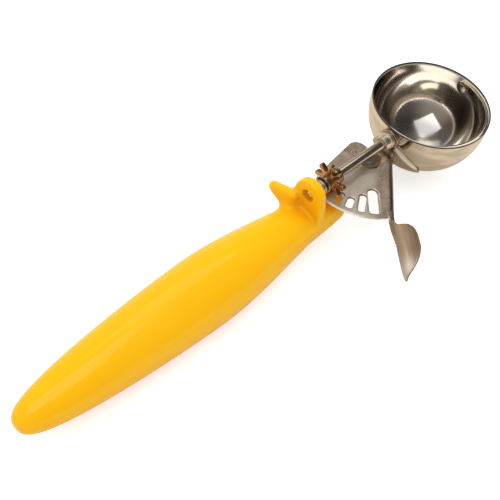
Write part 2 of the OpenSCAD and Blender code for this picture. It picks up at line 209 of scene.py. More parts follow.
# The fillets between grip, ear and horn run softly into each other
FILLET_REACH, FILLET_EASE = 5.5, 3
fillets = [Vector((EAR_REAR - behind, y, z))
           for behind, y, z in ((3, 3.5, -8.5), (5, 6.5, -9.5), (5.5, 9.5, -11), (7, 5, -10.5))]
flowing = handle.vertex_groups.new(name="throat")
for point in handle.data.vertices:
    spot = point.co * 1000 + Vector((0, 0, MOUTH))
    gap = min((spot - centre).length for centre in fillets)
    if gap < FILLET_REACH:
        flowing.add([point.index], min(1.0, (FILLET_REACH - gap) / FILLET_EASE), "REPLACE")
flow_out = handle.modifiers.new("throat", "SMOOTH")
flow_out.factor = 0.6
flow_out.iterations = 90
flow_out.vertex_group = "throat"
settle(handle)

# The shaft's hole through the ear, with a recess for its tail
BORE_R, RECESS_R = 2.05, 3.0
bore_line = [(EAR_REAR - 6, 0), (EAR_REAR - 6, RECESS_R), (EAR_REAR + 1.4, RECESS_R), (EAR_REAR + 1.6, 2.8)]
bore_line += [(EAR_REAR + 1.6, BORE_R), (EAR_FRONT + 6, BORE_R), (EAR_FRONT + 6, 0)]
cut_out(handle, piece("bore", turned(bore_line, 64)))


def node(tree, kind, feeds=None, **settings):
    """One shader node, with its sockets set or wired."""
    made = tree.nodes.new("ShaderNode" + kind)
    for key, value in settings.items():
        setattr(made, key, value)
    for key, value in (feeds or {}).items():
        if isinstance(value, bpy.types.NodeSocket):
            tree.links.new(value, made.inputs[key])
        else:
            made.inputs[key].default_value = value
    return made


def maths(tree, operation, *values):
    """The result of one Math node."""
    return node(tree, "Math", dict(enumerate(values)), operation=operation).outputs[0]


def times(tree, first, *others):
    """Several values multiplied."""
    for other in others:
        first = maths(tree, "MULTIPLY", first, other)
    return first


def most(tree, first, *others):
    """The highest of several values."""
    for other in others:
        first = maths(tree, "MAXIMUM", first, other)
    return first


def ramp(tree, value, low, high, to_low=0.0, to_high=1.0):
    """A value eased from one range to another."""
    return node(tree, "MapRange", {"Value": value, "From Min": low, "From Max": high,
                                   "To Min": to_low, "To Max": to_high},
                interpolation_type="SMOOTHSTEP").outputs["Result"]


def blend_colour(tree, amount, a, b):
    """Two colours mixed by an amount."""
    a, b = [(*colour, 1) if isinstance(colour, tuple) else colour for colour in (a, b)]
    return node(tree, "Mix", {0: amount, 6: a, 7: b}, data_type="RGBA").outputs[2]


def surface(tree):
    """Where a point lies, in metres from the middle of the bowl's mouth."""
    return node(tree, "TexCoord").outputs["Object"]


def mapped(tree, at, **turns):
    """Coordinates stretched or turned."""
    return node(tree, "Mapping", {"Vector": at, **turns}).outputs[0]


def noise(tree, at, scale, detail, dimensions="3D", **more):
    """Soft random patches."""
    return node(tree, "TexNoise", {"Vector": at, "Scale": scale, "Detail": detail, **more},
                noise_dimensions=dimensions).outputs["Fac"]


def embossed(tree, height, strength, distance):
    """The normals of a surface raised by a height."""
    return node(tree, "Bump", {"Height": height, "Strength": strength, "Distance": distance}).outputs[0]


def effect(name, inputs, outputs):
    """An empty shader group with named numbers going in and coming out."""
    group = bpy.data.node_groups.new(name, "ShaderNodeTree")
    for socket, value in inputs.items():
        kind = "NodeSocketVector" if value is None else "NodeSocketFloat"
        made = group.interface.new_socket(socket, in_out="INPUT", socket_type=kind)
        if value is not None:
            made.default_value = value
    for socket in outputs:
        group.interface.new_socket(socket, in_out="OUTPUT", socket_type="NodeSocketFloat")
    return group, group.nodes.new("NodeGroupInput").outputs, group.nodes.new("NodeGroupOutput").inputs


def used(tree, group, **feeds):
    """That group placed in a material."""
    return node(tree, "Group", feeds, node_tree=group).outputs


def finish(name, **plain):
    """A new material and its Principled shader, with the values that are the same all over."""
    material = bpy.data.materials.new(name)
    material.use_nodes = True
    shader = material.node_tree.nodes["Principled BSDF"]
    for key, value in plain.items():
        shader.inputs[key.replace("_", " ")].default_value = value
    return material, material.node_tree, shader


def vary(shader, **sockets):
    """The shader's values that change over the surface."""
    for key, value in sockets.items():
        shader.id_data.links.new(value, shader.inputs[key.replace("_", " ")])


def fitted(made, body, node_names, material):
    """The material, the body it moves with and the solid it stands for."""
    made.data.materials.append(material)
    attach(made, body)
    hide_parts(*node_names)


# Smears that a hand leaves: broad soft patches where the gloss is a little duller
handling, given, result = effect("Handling smears", {"Vector": None, "Scale": 60.0, "Seed": 0.0}, ["Mask"])
broad = noise(handling, given["Vector"], given["Scale"], 3.0, "4D", W=given["Seed"],
              Roughness=0.55, Distortion=0.6)
handling.links.new(ramp(handling, broad, 0.38, 0.68), result["Mask"])

# Hairline scratches: long thin streaks in three directions, broken up along their length
scratches, given, result = effect("Hairline scratches", {"Vector": None, "Scale": 1.0, "Wear": 0.5}, ["Mask"])
streaks = []
for turn, size in ((0.35, 260.0), (1.35, 340.0), (2.3, 300.0)):
    lay = mapped(scratches, given["Vector"], Rotation=(turn * 0.6, turn * 0.4, turn), Scale=(1.0, 14.0, 14.0))
    streak = noise(scratches, lay, times(scratches, given["Scale"], size), 1.0, Roughness=0.4)
    streaks.append(ramp(scratches, streak, 0.66, 0.72))
patchy = noise(scratches, given["Vector"], times(scratches, given["Scale"], 110.0), 2.0)
broken = times(scratches, most(scratches, *streaks), ramp(scratches, patchy, 0.4, 0.62), given["Wear"])
scratches.links.new(broken, result["Mask"])

glossy_yellow, tree, shader = finish(
    "Glossy yellow polypropylene", IOR=1.49, Specular_IOR_Level=0.29, Subsurface_Weight=0.25,
    Subsurface_Scale=0.004, Subsurface_Radius=(1.0, 0.45, 0.08))
at = surface(tree)
smear = used(tree, handling, Vector=at, Scale=22.0, Seed=2.0)["Mask"]
hairs = used(tree, scratches, Vector=at, Scale=0.5, Wear=0.4)["Mask"]
flow = noise(tree, mapped(tree, at, Scale=(0.3, 1.0, 1.0)), 38.0, 3.0)
orange_peel = noise(tree, at, 900.0, 2.0)
tone = blend_colour(tree, ramp(tree, flow, 0.3, 0.7), (0.95, 0.485, 0.003), (0.97, 0.51, 0.004))
# Painted shade: deeper orange where the Ambient Occlusion node finds the surface hemmed in, as on the ear's
# face and the nose
painted_crevice_shade = node(tree, "AmbientOcclusion", {"Distance": 0.02}, samples=8).outputs["AO"]
tone = blend_colour(tree, ramp(tree, painted_crevice_shade, 0.9, 0.4), tone, (0.84, 0.30, 0.001))
tone = blend_colour(tree, times(tree, hairs, 0.12), tone, (0.98, 0.68, 0.08))
gloss = most(tree, maths(tree, "MULTIPLY_ADD", smear, 0.04, 0.14), times(tree, hairs, 0.5))
height = maths(tree, "SUBTRACT", times(tree, orange_peel, 0.35), times(tree, hairs, 0.5))
vary(shader, Base_Color=tone, Roughness=gloss, Normal=embossed(tree, height, 0.12, 0.00012))
fitted(handle, "handle_frame", ["handle"], glossy_yellow)

# ---- Shank --------------------------------------------------------------------
# Square bar of stainless steel, brushed along its length. Its front end is brazed into
# the hollow of the saddle and its tang runs on inside the handle.

SHANK_Z, SHANK_FRONT, SHOULDER_IN, TANG_IN = -14.03, -9, 4.9, 60
SADDLE_BACK = 28.82


def towards(tree, at, direction):
    """How far a place lies in a direction."""
    return node(tree, "VectorMath", {0: at, 1: direction}, operation="DOT_PRODUCT").outputs["Value"]


def eased(points, radius, closed=False, steps=4):
    """A drawn line with its corners rounded off, as a burr wheel leaves them."""
    line = []
    for i, point in enumerate(points):
        if not closed and i in (0, len(points) - 1):
            line.append(tuple(point))
            continue
        before, corner, after = (Vector(points[(i + k) % len(points)]) for k in (-1, 0, 1))
        back, on = before - corner, after - corner
        room = 0.45 * min(back.length, on.length)
        back.normalize()
        on.normalize()
        half = back.angle(on) / 2
        if half > math.radians(86):
            line.append(tuple(corner))
            continue
        reach = min(radius / math.tan(half), room)
        bend = reach * math.tan(half)
        centre = corner + (back + on).normalized() * (bend / math.sin(half))
        first, last = corner + back * reach - centre, corner + on * reach - centre
        start = math.atan2(first.y, first.x)
        sweep = (math.atan2(last.y, last.x) - start + math.pi) % (2 * math.pi) - math.pi
        for k in range(steps + 1):
            turn = start + sweep * k / steps
            line.append((centre.x + bend * math.cos(turn), centre.y + bend * math.sin(turn)))
    return line


def block(x0, x1, width, height, edge):
    """A bar along X with rounded edges."""
    y, low, high = width / 2, SHANK_Z - height / 2, SHANK_Z + height / 2
    return extruded(eased([(-y, low), (y, low), (y, high), (-y, high)], edge, True, 3), x0, x1, upright)


def scored(shape, direction, low, high, step):
    """Extra rows of points across a shape, so that it can be bent or cut cleanly."""
    count = int((high - low) / step)
    for k in range(count + 1):
        spot = low + (high - low) * k / count
        bmesh.ops.bisect_plane(shape, geom=shape.verts[:] + shape.edges[:] + shape.faces[:], dist=1e-4,
                               plane_co=Vector(direction) * spot, plane_no=direction)
    return shape


bar = scored(block(NOSE - SHOULDER_IN, SHANK_FRONT, 8, 6, 0.55), (1, 0, 0), -26, SHANK_FRONT, 1)
shank_bar = piece("shank_bar", bar)
seat = bmesh.new()
bmesh.ops.create_uvsphere(seat, u_segments=96, v_segments=64, radius=SADDLE_BACK)
cut_out(shank_bar, piece("seat", seat))
bar = bmesh.new()
bar.from_mesh(shank_bar.data)
bar.transform(Matrix.Translation((0, 0, MOUTH)) @ Matrix.Scale(1000, 4))
bpy.data.objects.remove(shank_bar)
tang = block(NOSE - TANG_IN, NOSE - SHOULDER_IN + 0.5, 6.6, 4.8, 0.4)
shank = piece("shank", joined(bar, tang))

# Worn edges: a mask that is bright where the surface turns a corner
edge_wear, given, result = effect("Edge wear", {"Vector": None, "Width": 0.0005, "Patchiness": 0.4}, ["Mask"])
rounded = node(edge_wear, "Bevel", {"Radius": given["Width"]}, samples=4).outputs[0]
true_side = node(edge_wear, "NewGeometry").outputs["Normal"]
corner = ramp(edge_wear, towards(edge_wear, rounded, true_side), 0.995, 0.86)
fleck = noise(edge_wear, given["Vector"], 420.0, 3.0)
kept = ramp(edge_wear, fleck, 0.3, 0.6, maths(edge_wear, "SUBTRACT", 1.0, given["Patchiness"]))
edge_wear.links.new(times(edge_wear, corner, kept), result["Mask"])

# Drawn or brushed lines: a fine rise and fall across one direction only
brushing, given, result = effect("Brushed lines", {"Vector": None, "Scale": 1.0}, ["Height", "Shade"])
fine = noise(brushing, mapped(brushing, given["Vector"], Scale=(0.02, 1.0, 1.0)),
             times(brushing, given["Scale"], 2600.0), 4.0, Roughness=0.65)
coarse = noise(brushing, mapped(brushing, given["Vector"], Scale=(0.05, 1.0, 1.0)),
               times(brushing, given["Scale"], 700.0), 2.0)
brushing.links.new(fine, result["Height"])
brushing.links.new(ramp(brushing, coarse, 0.35, 0.65), result["Shade"])


def brushed_steel(name, light, dark, rough, wear=0.6, direction=(0, 0, 0), depth=0.25):
    """Brushed stainless steel, with lines along X turned to the given direction."""
    material, tree, shader = finish(name, Metallic=1.0)
    at = surface(tree)
    lines = used(tree, brushing, Vector=mapped(tree, at, Rotation=direction), Scale=1.0)
    hairs = used(tree, scratches, Vector=at, Scale=0.9, Wear=wear)["Mask"]
    rubbed = used(tree, edge_wear, Vector=at, Width=0.0004, Patchiness=0.5)["Mask"]
    smear = used(tree, handling, Vector=at, Scale=150.0, Seed=5.0)["Mask"]
    tone = blend_colour(tree, lines["Shade"], dark, light)
    bright = tuple(min(0.9, c * 1.12) for c in light)
    tone = blend_colour(tree, most(tree, rubbed, times(tree, hairs, 0.6)), tone, bright)
    dull = maths(tree, "MULTIPLY_ADD", smear, 0.10, rough)
    dull = maths(tree, "SUBTRACT", dull, times(tree, rubbed, rough * 0.4))
    dull = maths(tree, "ADD", dull, times(tree, hairs, 0.12))
    height = maths(tree, "SUBTRACT", lines["Height"], hairs)
    vary(shader, Base_Color=tone, Roughness=dull, Normal=embossed(tree, height, depth, 0.00005))
    return material


bar_steel = brushed_steel("Brushed shank steel", (0.70, 0.65, 0.59), (0.58, 0.53, 0.47), 0.24)
fitted(shank, "handle_frame", ["shank"], bar_steel)

# ---- Bowl -----------------------------------------------------------------------
# Deep-drawn from 0.8 mm stainless sheet to a hemisphere with a short straight lip, then
# spun against a polishing mop, which leaves faint rings round it.

BOWL_OUT, BOWL_IN, LIP_ROUND, LIP_RISE = 26.99, 26.2, 0.395, 4.5
lip_rows = (0, 1.2, 2.4, 3.6)

bowl_line = [(-x, y) for x, y in arc(BOWL_OUT, 0, 90, 1)] + [(rise, BOWL_OUT) for rise in lip_rows]
bowl_line += [(y, x) for x, y in arc(LIP_ROUND, 0, 181, 15, (BOWL_OUT - LIP_ROUND, LIP_RISE))]
bowl_line += [(rise, BOWL_IN) for rise in reversed(lip_rows)]
bowl_line += [(-x, y) for x, y in arc(BOWL_IN, 89, -1, -1)]
stand_up = Matrix.Rotation(math.radians(-90), 4, "Y")
cup = turned(bowl_line, 256)
cup.transform(stand_up)
bowl = piece("bowl", cup, 60)

bowl_mirror, tree, shader = finish("Spun mirror-polished steel", Metallic=1.0,
                                   Emission_Color=(1, 0.92, 0.84, 1))
at = surface(tree)
x, y, z = node(tree, "SeparateXYZ", {0: at}).outputs
girth = maths(tree, "SQRT", maths(tree, "ADD", times(tree, x, x), times(tree, y, y)))
band = maths(tree, "ARCTAN2", girth, maths(tree, "SUBTRACT", 0.004, z))
rings = node(tree, "TexNoise", {"W": times(tree, band, 90.0), "Scale": 1.0, "Detail": 5.0, "Roughness": 0.7},
             noise_dimensions="1D").outputs["Fac"]
hairs = used(tree, scratches, Vector=at, Scale=0.7, Wear=0.5)["Mask"]
smear = used(tree, handling, Vector=at, Scale=70.0, Seed=1.0)["Mask"]

# The cut edge of the lip: its rounded top is painted dark as shade and painted bright as a highlight on the
# thumb tab's side, and a narrow band inside is painted bright and glows for reflected rays only, a painted
# reflection which reads taller where the polished floor mirrors it
EDGE_ECHO = 0.0015
lip = ramp(tree, z, -0.0009, -0.0006)
mirrored = times(tree, node(tree, "LightPath").outputs["Is Glossy Ray"], EDGE_ECHO)
band_painted_glow = times(tree, ramp(tree, maths(tree, "ADD", z, mirrored), -0.0015, -0.0012),
               ramp(tree, z, -0.0006, -0.0008), ramp(tree, girth, 0.0264, 0.02625))
tab_side = towards(tree, at, (-0.7071, -0.7071, 0))
top = times(tree, ramp(tree, z, -0.0006, -0.0003), ramp(tree, tab_side, 0.0165, 0.0195),
            ramp(tree, girth, 0.0269, 0.0265, 0.0, 0.95))
lip_painted_light = most(tree, band_painted_glow, top)

# Inside: painted reflections. The wall is painted brighter in two opposite fans and on one side, and the
# floor is painted brighter in the middle and towards the thumb tab
facing = maths(tree, "ABSOLUTE", towards(tree, at, (0.766, 0.643, 0)))
painted_glare_fans = ramp(tree, maths(tree, "DIVIDE", facing, girth), 0.6, 0.87)
side_on = maths(tree, "DIVIDE", towards(tree, at, (0.39, -0.92, 0)), girth)
painted_side_glare = times(tree, ramp(tree, side_on, 0.75, 0.95), ramp(tree, girth, 0.0245, 0.0225))
wall_painted_glare = blend_colour(tree, most(tree, painted_glare_fans, painted_side_glare), (0.37, 0.33, 0.28), (0.98, 0.94, 0.87))
painted_floor_glare = most(tree, ramp(tree, girth, 0.0115, 0.0085),
                    ramp(tree, maths(tree, "DIVIDE", tab_side, girth), -0.2, 0.2))
floor_painted_glare = blend_colour(tree, painted_floor_glare, (0.42, 0.415, 0.42), (0.75, 0.70, 0.63))
inside_painted_glare = blend_colour(tree, ramp(tree, girth, 0.014, 0.021), floor_painted_glare, wall_painted_glare)

# Outside: clouded by washing and handling
depth = maths(tree, "ADD", z, MOUTH * 0.001)
reach = maths(tree, "SQRT", maths(tree, "ADD", times(tree, girth, girth), times(tree, depth, depth)))
outside = times(tree, ramp(tree, reach, 0.0264, 0.0268), ramp(tree, z, -0.0004, -0.0012))
cloudy = noise(tree, mapped(tree, at, Scale=(1.0, 1.0, 3.5)), 55.0, 3.0, Distortion=0.5)
stained = blend_colour(tree, ramp(tree, cloudy, 0.35, 0.62), (0.60, 0.55, 0.44), (0.80, 0.72, 0.62))

tone = blend_colour(tree, outside, inside_painted_glare, stained)
tone = blend_colour(tree, lip, tone, (0.07, 0.055, 0.045))
tone = blend_colour(tree, lip_painted_light, tone, (0.94, 0.89, 0.82))
tone = blend_colour(tree, times(tree, hairs, 0.3), tone, (0.84, 0.80, 0.75))
painted_lip_matte = most(tree, times(tree, lip_painted_light, 0.6), times(tree, lip, 0.75))
polish = maths(tree, "ADD", maths(tree, "MULTIPLY_ADD", smear, 0.03, 0.075), times(tree, hairs, 0.10))
polish = maths(tree, "ADD", polish, ramp(tree, girth, 0.017, 0.012, 0.0, 0.10))
height = maths(tree, "SUBTRACT", times(tree, rings, 0.5), times(tree, hairs, 0.3))
# The painted lip marks are less metallic and rougher, and the band's painted glow is warm white
vary(shader, Base_Color=tone, Metallic=maths(tree, "SUBTRACT", 1.0, painted_lip_matte),
     Roughness=most(tree, polish, times(tree, lip_painted_light, 0.42)),
     Emission_Strength=times(tree, band_painted_glow, mirrored, 0.75 / EDGE_ECHO),
     Normal=embossed(tree, height, 0.05, 0.0001))
fitted(bowl, "handle_frame", ["bowl"], bowl_mirror)

# ---- Saddle ---------------------------------------------------------------------
# Pressed cradle of thicker stainless sheet, brazed to the back of the bowl: an arch over
# the shaft's bush and two arms round the bowl's waist. A fillet of silver solder runs
# along the upper edge of the longer arm.

SADDLE_IN, SADDLE_T, SADDLE_EDGE, SADDLE_THINNING = 27.06, 1.7, 0.45, 1.65
SADDLE_MID = SADDLE_IN + SADDLE_T / 2
SADDLE_FOOT, ARCH_R, ARCH_BORE = -24, 4.6, 3.3


def bezier(a, b, c, d, steps):
    """Points of one cubic curve."""
    a, b, c, d = Vector(a), Vector(b), Vector(c), Vector(d)
    points = []
    for i in range(steps + 1):
        t = i / steps
        s = 1 - t
        points.append(tuple(s * s * s * a + 3 * s * s * t * b + 3 * s * t * t * c + t * t * t * d))
    return points


def strung(curve, lines, cyclic):
    """The shape that a curve's settings give to lines of points."""
    for points in lines:
        line = curve.splines.new("POLY")
        line.points.add(len(points) - 1)
        for point, place in zip(line.points, points):
            point.co = (*place, 1)
        line.use_cyclic_u = cyclic
    made = bpy.data.objects.new("strung", curve)
    scene.collection.objects.link(made)
    mesh = evaluated(made)
    bpy.data.objects.remove(made)
    shape = bmesh.new()
    shape.from_mesh(mesh)
    bpy.data.meshes.remove(mesh)
    return shape


def blank(outlines, thickness, edge):
    """Sheet cut to an outline with holes, its cut edges tumbled round. Lies in X and Y."""
    curve = bpy.data.curves.new("blank", "CURVE")
    curve.dimensions = "2D"
    curve.fill_mode = "BOTH"
    curve.extrude = thickness / 2 - edge
    curve.bevel_depth = edge
    curve.bevel_resolution = 3
    curve.offset = -edge
    shape = strung(curve, [[(x, y, 0) for x, y in outline] for outline in outlines], True)
    bmesh.ops.remove_doubles(shape, verts=shape.verts, dist=1e-4)
    return shape


def arm_side(reach, low):
    """Half the saddle's outline: foot, arm and arch."""
    foot = (0, SADDLE_FOOT)
    line = [foot] + bezier((5.5, foot[1]), (9.5, foot[1]), (reach, low - 7), (reach, low - 1.5), 10)
    line += bezier((reach, low - 0.5), (reach - 0.4, low + 1.6), (6.7, -4.8), (4.3, -3.6), 12)
    return line + arc(ARCH_R, 0, 91, 8)


long_arm = arm_side(14.5, -13.4)
outline = arm_side(9, -9.5) + [(-x, y) for x, y in long_arm[-1:0:-1]]
cradle = blank([outline, arc(ARCH_BORE, 0, 360, 10)], SADDLE_T, SADDLE_EDGE)
cradle = scored(scored(cradle, (1, 0, 0), -14.5, 9, 0.8), (0, 1, 0), SADDLE_FOOT, 4.5, 0.8)
for point in cradle.verts:
    y, z, lift = point.co
    drop = min(z, 0)
    behind = math.sqrt(SADDLE_MID ** 2 - y * y - drop * drop)
    out = Vector((-behind, y, drop)) / SADDLE_MID
    thick = SADDLE_T - SADDLE_THINNING * (1 - behind / SADDLE_MID)
    point.co = out * (SADDLE_IN + (0.5 + lift / SADDLE_T) * thick) + Vector((0, 0, z - drop))

SEAM_STEPS, SEAM_SIDES, SEAM_R = 28, 24, 1.15
SEAM_SHELL, SEAM_CORE = 27.9, 27.7
solder = bmesh.new()
seam = bezier((3.6, -3.3), (6.2, -4.6), (11.6, -8.2), (13.7, -12.6), SEAM_STEPS)
rows = []
for k, (y, z) in enumerate(seam):
    out = Vector((-math.sqrt(SEAM_SHELL ** 2 - y * y - z * z), -y, z)) / SEAM_SHELL
    ahead = Vector(seam[min(k + 1, SEAM_STEPS)]) - Vector(seam[max(k - 1, 0)])
    along = Vector((0, -ahead.x, ahead.y))
    along = (along - out * along.dot(out)).normalized()
    size = SEAM_R * math.sin(math.pi * (0.06 + 0.88 * k / SEAM_STEPS)) ** 0.4
    turns = [2 * math.pi * m / SEAM_SIDES for m in range(SEAM_SIDES)]
    across = out.cross(along)
    rows.append([solder.verts.new(out * SEAM_CORE + (out * math.cos(a) + across * math.sin(a)) * size)
                 for a in turns])
for near_row, far_row in zip(rows, rows[1:]):
    for m in range(SEAM_SIDES):
        solder.faces.new((near_row[m], near_row[m - 1], far_row[m - 1], far_row[m]))
solder.faces.new(rows[0])
solder.faces.new(rows[-1][::-1])
plain_faces = len(cradle.faces)
saddle = piece("bowl_saddle", joined(cradle, solder), 60)
# Painted shade: the saddle's steel is a darker copy of the shank's
saddle_steel_painted_shade = brushed_steel("Brushed saddle steel", (0.47, 0.39, 0.30), (0.37, 0.30, 0.23), 0.2,
                             direction=(0, math.radians(90), 0))
fitted(saddle, "handle_frame", ["bowl_saddle"], saddle_steel_painted_shade)

silver_solder, tree, shader = finish("Silver solder seam", Metallic=0.45)
at = surface(tree)
grainy = noise(tree, at, 900.0, 4.0)
smear = used(tree, handling, Vector=at, Scale=180.0, Seed=7.0)["Mask"]
vary(shader, Base_Color=blend_colour(tree, smear, (0.86, 0.77, 0.62), (0.76, 0.67, 0.52)),
     Roughness=ramp(tree, grainy, 0.3, 0.7, 0.36, 0.52), Normal=embossed(tree, grainy, 0.2, 0.0001))
saddle.data.materials.append(silver_solder)
for face in saddle.data.polygons[plain_faces:]:
    face.material_index = 1

# ---- Bush and far pivot -------------------------------------------------------------
# A flanged steel bush guides the shaft through saddle and bowl. Opposite it, a pin with
# a washer outside and a head inside is riveted through the bowl's wall.

BUSH_R, FLANGE_R, BUSH_BACK, BUSH_FRONT = 3.3, 3.8, -33.35, -26.25
FLANGE = (-30.44, -28.78)
FAR_PIN_R, FAR_HEAD_R, FAR_WALL, FAR_WASHER_T = 1.55, 2.35, 27.06, 0.5
ROUND_X = (0, 0, math.radians(90))


def lathed(name, profile, radius=0.15, closed=False, around=64, place=Matrix.Identity(4)):
    """A turned part along X with its edges broken."""
    shape = turned(eased(profile, radius, closed), around, closed)
    shape.transform(place)
    return piece(name, shape, 50)


def ring_line(start, end, inner, outer):
    """Profile of a washer between two stations."""
    return [(start, inner), (start, outer), (end, outer), (end, inner)]


def button(base, radius, rise, steps=10):
    """Profile of a domed rivet head that rises from base towards its crown."""
    turns = [math.pi / 2 * k / steps for k in range(steps + 1)]
    return [(base + rise * math.sin(a), radius * math.cos(a)) for a in turns]


turned_steel = brushed_steel("Turned steel", (0.64, 0.56, 0.45), (0.50, 0.43, 0.34),
                             0.18, 0.4, ROUND_X, 0.15)
# Painted highlight: the bush's steel is a brighter copy of the turned steel
bush_steel_painted_light = brushed_steel("Turned bush steel", (0.96, 0.88, 0.75), (0.84, 0.76, 0.64),
                           0.3, 0.4, ROUND_X, 0.15)
bush_line = [(BUSH_BACK, BORE_R), (BUSH_BACK, BUSH_R)] + ring_line(*FLANGE, BUSH_R, FLANGE_R)
bush_line += [(BUSH_FRONT, BUSH_R), (BUSH_FRONT, BORE_R)]
bush = lathed("front_bush", bush_line, 0.2, True)
fitted(bush, "handle_frame", ["front_bush"], bush_steel_painted_light)

far_face = FAR_WALL + FAR_WASHER_T
washer_far = lathed("far_pivot_washer", ring_line(FAR_WALL, far_face, FAR_PIN_R, 3.25), 0.14, True)
fitted(washer_far, "handle_frame", ["far_pivot_washer"], turned_steel)
pin_line = [(23.95, 0), (23.95, FAR_HEAD_R), (24.75, FAR_HEAD_R), (24.75, FAR_PIN_R), (far_face, FAR_PIN_R)]
far_pin = lathed("far_pivot_rivet", pin_line + button(far_face, 2.55, 0.8), 0.2)
fitted(far_pin, "handle_frame", ["far_pivot_rivet"], turned_steel)

# ---- Lever pivot stack --------------------------------------------------------------
# A spacer on the shank, a washer under the lever and one over it, all held by one
# round-headed rivet. Turned along X first, then stood up on the pivot.

PIVOT_BACK, PIVOT_BORE, RIVET_R, SPACER_R, STACK_WASHER_T = 39, 2.55, 2.5, 4, 0.6
SHANK_LOW, SHANK_TOP, UNDER_PLATE, OVER_PLATE, STACK_TOP = -17.03, -11.03, -7.158, -5.898, -5.298

pivot = Matrix.Translation((-PIVOT_BACK, 0, 0)) @ stand_up
# Painted shade: spacer, washers and rivet are a dark brown copy of the turned steel, dark as the shade under
# the shaft
rivet_steel_painted_shade = brushed_steel("Peened rivet steel", (0.43, 0.36, 0.29), (0.34, 0.28, 0.22),
                            0.42, 0.8, ROUND_X, 0.3)
for name, line, broken_edge in (
        ("lever_spacer", ring_line(SHANK_TOP, UNDER_PLATE - STACK_WASHER_T, RIVET_R, SPACER_R), 0.2),
        ("lower_washer", ring_line(UNDER_PLATE - STACK_WASHER_T, UNDER_PLATE, PIVOT_BORE, SPACER_R), 0.12),
        ("upper_washer", ring_line(OVER_PLATE, STACK_TOP, PIVOT_BORE, 5), 0.15)):
    made = lathed(name, line, broken_edge, True, 72, pivot)
    fitted(made, "handle_frame", [name], rivet_steel_painted_shade)
rivet_line = [(2 * SHANK_LOW - station, radius) for station, radius in reversed(button(SHANK_LOW, 3.9, 1.5))]
rivet_line += [(SHANK_LOW, RIVET_R), (STACK_TOP, RIVET_R)] + button(STACK_TOP, 3.4, 1.1)
rivet = lathed("lever_rivet", rivet_line, 0.12, False, 72, pivot)
fitted(rivet, "handle_frame", ["lever_rivet"], rivet_steel_painted_shade)

# ---- Lever ------------------------------------------------------------------------
# Stamped from 1.2 mm stainless sheet in one stroke: slots that work the pinion, a front
# edge turned down to stiffen it, and a leaf-shaped thumb tab dished to fit the thumb.

PLATE_Z, SHEET, PLATE_R = -6.528, 1.2, 32.5
EDGE, EDGE_OFF, CORNER_OFF = 221.8, 10.6, 8.4
SLOT_FIRST, SLOT_PITCH, SLOT_OUT, SLOT_W, LAST_SLOT_W = 182.2, 10.8, 30.1, 3.0, 4.4
SLOT_IN = (23.8, 23.8, 24.1, 20.6, 16.8)
FOLD_R, FOLD_DOWN, FOLD_OVERLAP = 2.2, 4.8, 2.8
TAB_HEADING, TAB_DISH = 231.5, 10


def height_of(tree, vector):
    """The upward part of a place or a direction."""
    return node(tree, "SeparateXYZ", {0: vector}).outputs["Z"]


def polar(degrees, reach):
    """A point about the pivot, at a heading in degrees from the bowl's side and a distance."""
    return Vector((math.cos(math.radians(degrees)), math.sin(math.radians(degrees)))) * reach


def set_at(points, heading):
    """Points drawn outwards along X, turned to a heading."""
    out, across = polar(heading, 1), polar(heading + 90, 1)
    return [tuple(out * s + across * t) for s, t in points]


outwards, onwards = polar(EDGE + 90, 1), polar(EDGE, 1)
edge_half = math.sqrt(PLATE_R ** 2 - EDGE_OFF ** 2)
edge_end = outwards * EDGE_OFF + onwards * edge_half
edge_start = outwards * CORNER_OFF - onwards * 2.4
notch = SLOT_FIRST - SLOT_PITCH
start = notch + math.degrees(math.asin(SLOT_W / 2 / PLATE_R))
stop = EDGE + math.degrees(math.asin(CORNER_OFF / PLATE_R))
plate_line = [tuple(polar(start + (stop - start) * k / 40, PLATE_R)) for k in range(41)]
plate_line += [tuple(edge_start)]
plate_line += bezier(edge_start + Vector((0.8, 0.8)), edge_start + Vector((1.2, 2)), (4.1, 3), (4.7, 6.4), 8)
plate_line += arc(4.5, 0, 96, 8, (0.2, 7.4)) + [(-15.61, 9.79), (-20.21, 8.89), (-23.61, 6.39)]
plate_line += set_at([(SLOT_IN[0], SLOT_W / 2), (PLATE_R - 0.04, SLOT_W / 2)], notch)
openings = [arc(PIVOT_BORE, 0, 360, 10)]
for k, inner in enumerate(SLOT_IN):
    width = LAST_SLOT_W if k == len(SLOT_IN) - 1 else SLOT_W
    half = width / 2
    slot = [(inner + half - y, x) for x, y in arc(half, 0, 181, 15)]
    outer_end = [(inner + width, -half), (SLOT_OUT, -half), (SLOT_OUT, half), (inner + width, half)]
    slot += eased(outer_end, width / 3)[1:-1]
    openings.append(set_at(slot, SLOT_FIRST + SLOT_PITCH * k))
sheet = blank([plate_line] + openings, SHEET, 0.2)

turn_down = [(y, x) for x, y in arc(FOLD_R, 0, 91, 10, (-FOLD_R, -FOLD_R))]
turn_down += [(0, -FOLD_DOWN), (-SHEET, -FOLD_DOWN), (-SHEET, -FOLD_R), (-FOLD_R, -SHEET)]
turn_down += [(-FOLD_OVERLAP, -SHEET), (-FOLD_OVERLAP, 0)]
edge_fold = extruded(turn_down, 0, edge_half + 2.4)
edge_fold.transform(Matrix(((outwards.x, 0, -onwards.x, edge_end.x), (outwards.y, 0, -onwards.y, edge_end.y),
                            (0, 1, 0, SHEET / 2), (0, 0, 0, 1))))

